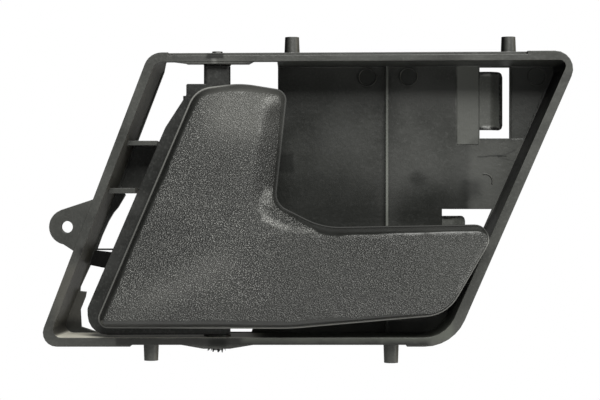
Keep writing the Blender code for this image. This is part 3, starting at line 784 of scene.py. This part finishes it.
def make_spring(look):
    """A coil round the hinge, with a lower leg reaching to the tray and an upper leg reaching left."""
    behind = HINGE_Y + COIL_RADIUS
    points = [(UPPER_LEG_X, behind, COIL_HIGH), (HINGE_X - 4.0, behind, COIL_HIGH)]
    for i in range(COIL_TURNS * COIL_SIDES + 1):
        angle = math.pi / 2 - 2 * math.pi * i / COIL_SIDES
        z = COIL_HIGH + (COIL_LOW - COIL_HIGH) * i / (COIL_TURNS * COIL_SIDES)
        points.append((HINGE_X + COIL_RADIUS * math.cos(angle), HINGE_Y + COIL_RADIUS * math.sin(angle), z))
    points.append((*LOWER_LEG_END, COIL_LOW))
    wire = bpy.data.curves.new("return_spring_wire", "CURVE")
    wire.dimensions = "3D"
    wire.bevel_depth, wire.bevel_resolution, wire.use_fill_caps = WIRE_RADIUS * MM, 4, True
    spline = wire.splines.new("POLY")
    spline.points.add(len(points) - 1)
    for spot, point in zip(spline.points, points):
        spot.co = (*(Vector(point) * MM), 1)
    guide = bpy.data.objects.new("guide", wire)
    bpy.context.scene.collection.objects.link(guide)
    bpy.context.view_layer.update()
    tube = guide.evaluated_get(bpy.context.evaluated_depsgraph_get())
    made = bpy.data.meshes.new_from_object(tube)
    bpy.data.objects.remove(guide)
    bm = bmesh.new()
    bm.from_mesh(made)
    bmesh.ops.remove_doubles(bm, verts=bm.verts, dist=1e-6)
    spring = mesh_object("wound_spring", bm, look)
    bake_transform(spring)
    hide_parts("return_spring")


def ring_section(standing, reach, lift):
    """Radius and lift of a push ring from its inner edge out, on a tab or between two."""
    outer = [(2.25, 0.0), (reach, lift)] if standing else [(2.15, 0.0), (2.2, 0.0)]
    return [(1.72, 0.25), (1.95, 0.0)] + outer


def make_push_ring(name, node, look, up):
    """A star ring round the pin's end whose outer tabs are bent unevenly away from the bar."""
    low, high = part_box(node)
    centre = (low + high) / 2 / MM
    half, thick = (high.x - low.x) / 2 / MM, (high.z - low.z) / MM
    rng = random.Random(7 if up else 11)
    away, bend, longest = (1, 1.25, 1.0) if up else (-1, 1.9, 1.18)
    bends = (0.2, 1.0) if up else (0.6, 1.1)
    lifts = [rng.uniform(*bends) for _ in range(RING_TABS)]
    reaches = [rng.uniform(0.85, longest) for _ in range(RING_TABS)]
    base = centre.z - away * thick / 2
    bm = bmesh.new()
    near, far = [], []
    for place in range(4):
        for side, loops in ((0, near), (1, far)):
            loop = []
            for i in range(RING_TABS * 4):
                tab, phase = divmod(i, 4)
                radius, lift = ring_section(phase in (1, 2), half * reaches[tab], bend * lifts[tab])[place]
                angle = 2 * math.pi * (i + 0.5) / (RING_TABS * 4)
                x, y = centre.x + radius * math.cos(angle), centre.y + radius * math.sin(angle)
                z = base + away * (lift + side * RING_SHEET)
                loop.append(bm.verts.new(Vector((x, y, z)) * MM))
            loops.append(loop)
    order = near + far[::-1]
    for first, second in zip(order, order[1:] + order[:1]):
        join_loops(bm, first, second)
    ring = piece(name, bm, "housing", look, 30)
    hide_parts(node)


def add_disc_mark(bm, x, z, radius, front, turn):
    """A low ring left by an ejector pin, as a full turn or as an arc."""
    profile = [(radius - 0.6, 0.10), (radius - 0.42, -0.2), (radius - 0.1, -0.22), (radius + 0.1, 0.10)]
    count = max(3, int(MARK_SIDES * (turn[1] - turn[0])))
    closed = turn[1] - turn[0] >= 1.0
    loops = []
    for i in range(count + (0 if closed else 1)):
        angle = 2 * math.pi * (turn[0] + (turn[1] - turn[0]) * i / count)
        loop = []
        for r, y in profile:
            place = Vector((x + r * math.cos(angle), front + y, z + r * math.sin(angle)))
            loop.append(bm.verts.new(place * MM))
        loops.append(loop)
    pairs = list(zip(loops, loops[1:])) + ([(loops[-1], loops[0])] if closed else [])
    for first, second in pairs:
        join_loops(bm, first, second)
    if not closed:
        bm.faces.new(loops[0])
        bm.faces.new(loops[-1])


def make_mould_marks(look):
    bm = bmesh.new()
    for mark in EJECTOR_MARKS:
        add_disc_mark(bm, *mark)
    piece("mould_marks", bm, "housing", look, 40)


def main():
    make_camera()
    make_world(0.12)
    area_light("key", (0.10, -0.55, 0.50), (0, 0, 0), (0.5, 0.45), 10.9, (1, 1, 0.96))
    area_light("fill", (0.6, -0.3, 0.05), (0, 0, 0), (0.3, 0.5), 1.5, (1, 1, 0.95))
    make_stage()
    bpy.context.scene.view_settings.view_transform = "Standard"

    housing_look = moulded_look("housing_plastic", (0.019, 0.0195, 0.018), (0.030, 0.031, 0.028), 0.40,
                                shaded_and_weathered=True)
    carrier_look = moulded_look("carrier_plastic", (0.007, 0.0074, 0.0069), (0.0115, 0.012, 0.0112), 0.42)
    tongue_look = moulded_look("tongue_plastic", (0.042, 0.0435, 0.040), (0.058, 0.060, 0.055), 0.4,
                               regions=TONGUE_REGIONS)
    pin_look = steel_look("pin_steel", (0.12, 0.12, 0.12), (0.2, 0.2, 0.2), 0.4, (1, 1, 0.1))
    wire_look = steel_look("spring_steel", (0.30, 0.30, 0.31), (0.42, 0.42, 0.43), 0.35, (1, 1, 1))
    ring_look = steel_look("ring_steel", (0.03, 0.03, 0.03), (0.07, 0.07, 0.07), 0.55, (1, 1, 1))
    dress("housing", housing_look)
    dress("lever_carrier", carrier_look)
    dress("hinge_pin", pin_look)
    dress("wall_buffer", rubber_look())
    dress("rod_clip", nylon_look())
    for name in ("left", "right", "top"):
        dress(f"cover_screw_{name}", wire_look)
    for name in ("housing", "lever_carrier", "hinge_pin", "wall_buffer", "rod_clip"):
        weld(NODES[name])
    make_cover(grained_look())
    make_tongue("upper_snap_tongue", "upper_latch_tongue", 54.1, 21.5, 39.8, tongue_look)
    make_tongue("lower_snap_tongue", "lower_latch_tongue", 42.3, -17.8, -5.4, tongue_look)
    make_spring(wire_look)
    make_push_ring("upper_star_ring", "upper_push_ring", ring_look, True)
    make_push_ring("lower_star_ring", "lower_push_ring", ring_look, False)
    make_mould_marks(housing_look)


main()
